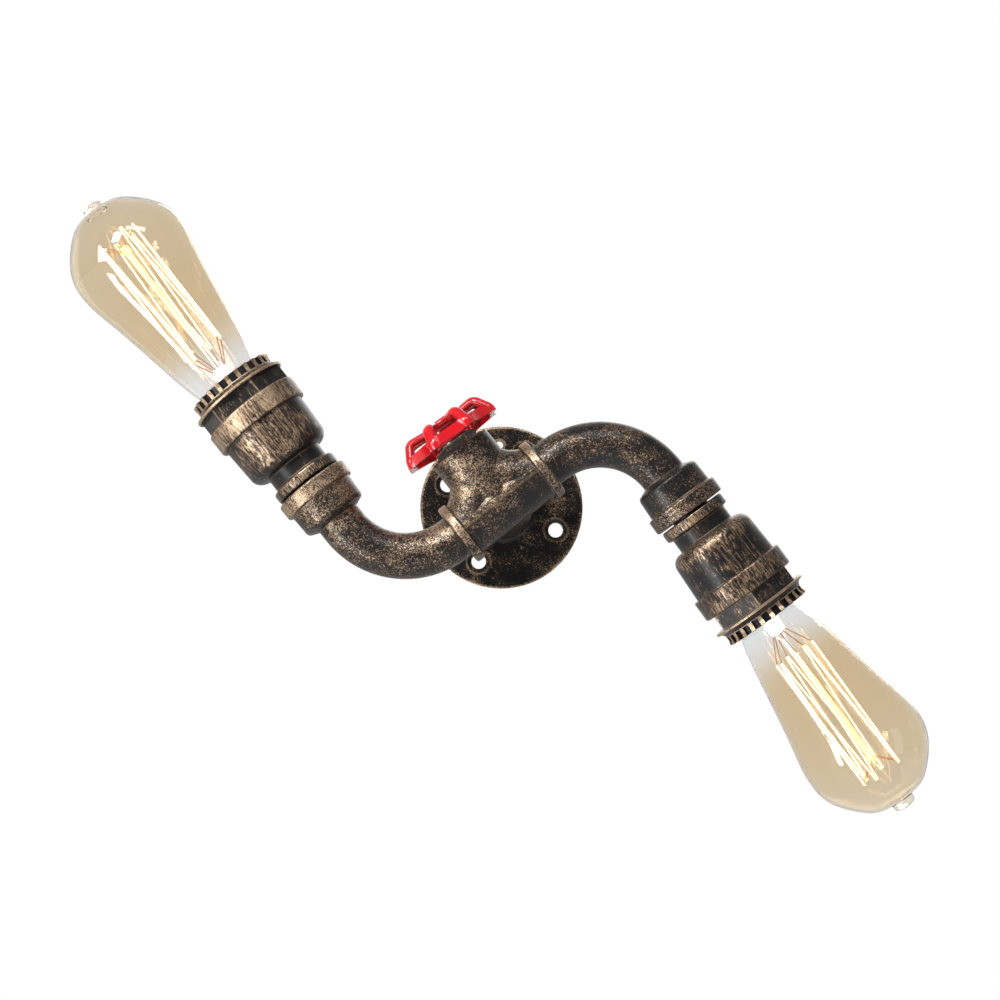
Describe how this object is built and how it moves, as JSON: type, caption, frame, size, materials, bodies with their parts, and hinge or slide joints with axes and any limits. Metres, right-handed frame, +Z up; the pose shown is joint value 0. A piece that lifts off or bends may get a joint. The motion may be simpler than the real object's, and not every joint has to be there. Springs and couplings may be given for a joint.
{
  "type": "industrial pipe wall light",
  "caption": "Wall light of screwed pipe fittings on a round plate: elbows from a tee carry bell-shaped lamp holders with filament bulbs, and a red valve wheel tops the tee.",
  "frame": {"origin": "centre of the wall plate's back face, in the plane of the wall", "axes": "+Z up, -Y out of the wall to the front, +X to the right as seen from the front"},
  "size_m": [0.4283, 0.073, 0.3086],
  "materials": {
    "worn_bronze": "dark bronze lacquer, rubbed to gold on edges and high spots",
    "red_paint": "glossy enamel",
    "plated_steel": "plated, satin",
    "porcelain": "glazed",
    "brass": "pressed, bright",
    "flex": "smooth sheath",
    "black_glass": "glossy",
    "amber_glass": "clear, tinted amber towards the tip",
    "clear_glass": "clear",
    "support_wire": "drawn wire",
    "filament": "glowing wire"
  },
  "bodies": {
    "fixture": {"wall_plate": "worn_bronze", "rear_nipple": "worn_bronze", "tee": "worn_bronze", "branch_plug": "worn_bronze", "elbow_left": "worn_bronze", "nipple_left": "worn_bronze", "bell_left": "worn_bronze", "hex_bush_left": "worn_bronze", "crown_ring_left": "worn_bronze", "lamp_holder_left": "porcelain", "screw_shell_left": "brass", "centre_contact_left": "brass", "terminal_screws_left": "brass", "lead_left": "flex", "elbow_right": "worn_bronze", "nipple_right": "worn_bronze", "bell_right": "worn_bronze", "hex_bush_right": "worn_bronze", "crown_ring_right": "worn_bronze", "lamp_holder_right": "porcelain", "screw_shell_right": "brass", "centre_contact_right": "brass", "terminal_screws_right": "brass", "lead_right": "flex"},
    "valve": {"valve_spindle": "plated_steel", "wheel_washer": "plated_steel", "valve_wheel": "red_paint", "wheel_nut": "plated_steel"},
    "bulb_contact_left": {"cap_contact_left": "brass"},
    "bulb_left": {"bulb_cap_left": "brass", "cap_insulator_left": "black_glass", "bulb_glass_left": "amber_glass", "glass_stem_left": "clear_glass", "support_wires_left": "support_wire", "filament_left": "filament"},
    "bulb_contact_right": {"cap_contact_right": "brass"},
    "bulb_right": {"bulb_cap_right": "brass", "cap_insulator_right": "black_glass", "bulb_glass_right": "amber_glass", "glass_stem_right": "clear_glass", "support_wires_right": "support_wire", "filament_right": "filament"}
  },
  "joints": [
    {"name": "valve_turn", "type": "hinge", "parent": "fixture", "child": "valve", "pos_m": [-0.02328, -0.041, 0.02927], "axis": [-0.585, 0, 0.8111], "continuous": true},
    {"name": "bulb_travel_left", "type": "slide", "parent": "fixture", "child": "bulb_contact_left", "axis": [-0.6225, 0, 0.7826], "range_m": [0, 0.0146]},
    {"name": "bulb_turn_left", "type": "hinge", "parent": "bulb_contact_left", "child": "bulb_left", "pos_m": [-0.13614, -0.041, 0.05999], "axis": [-0.6225, 0, 0.7826], "range_deg": [0, 1440]},
    {"name": "bulb_travel_right", "type": "slide", "parent": "fixture", "child": "bulb_contact_right", "axis": [0.5892, 0, -0.808], "range_m": [0, 0.0146]},
    {"name": "bulb_turn_right", "type": "hinge", "parent": "bulb_contact_right", "child": "bulb_right", "pos_m": [0.13284, -0.041, -0.05838], "axis": [0.5892, 0, -0.808], "range_deg": [0, 1440]}
  ],
  "couplings": [
    {"joint": "bulb_travel_left", "follows": "bulb_turn_left", "m_per_rad": 0.00057773},
    {"joint": "bulb_travel_right", "follows": "bulb_turn_right", "m_per_rad": 0.00057773}
  ]
}
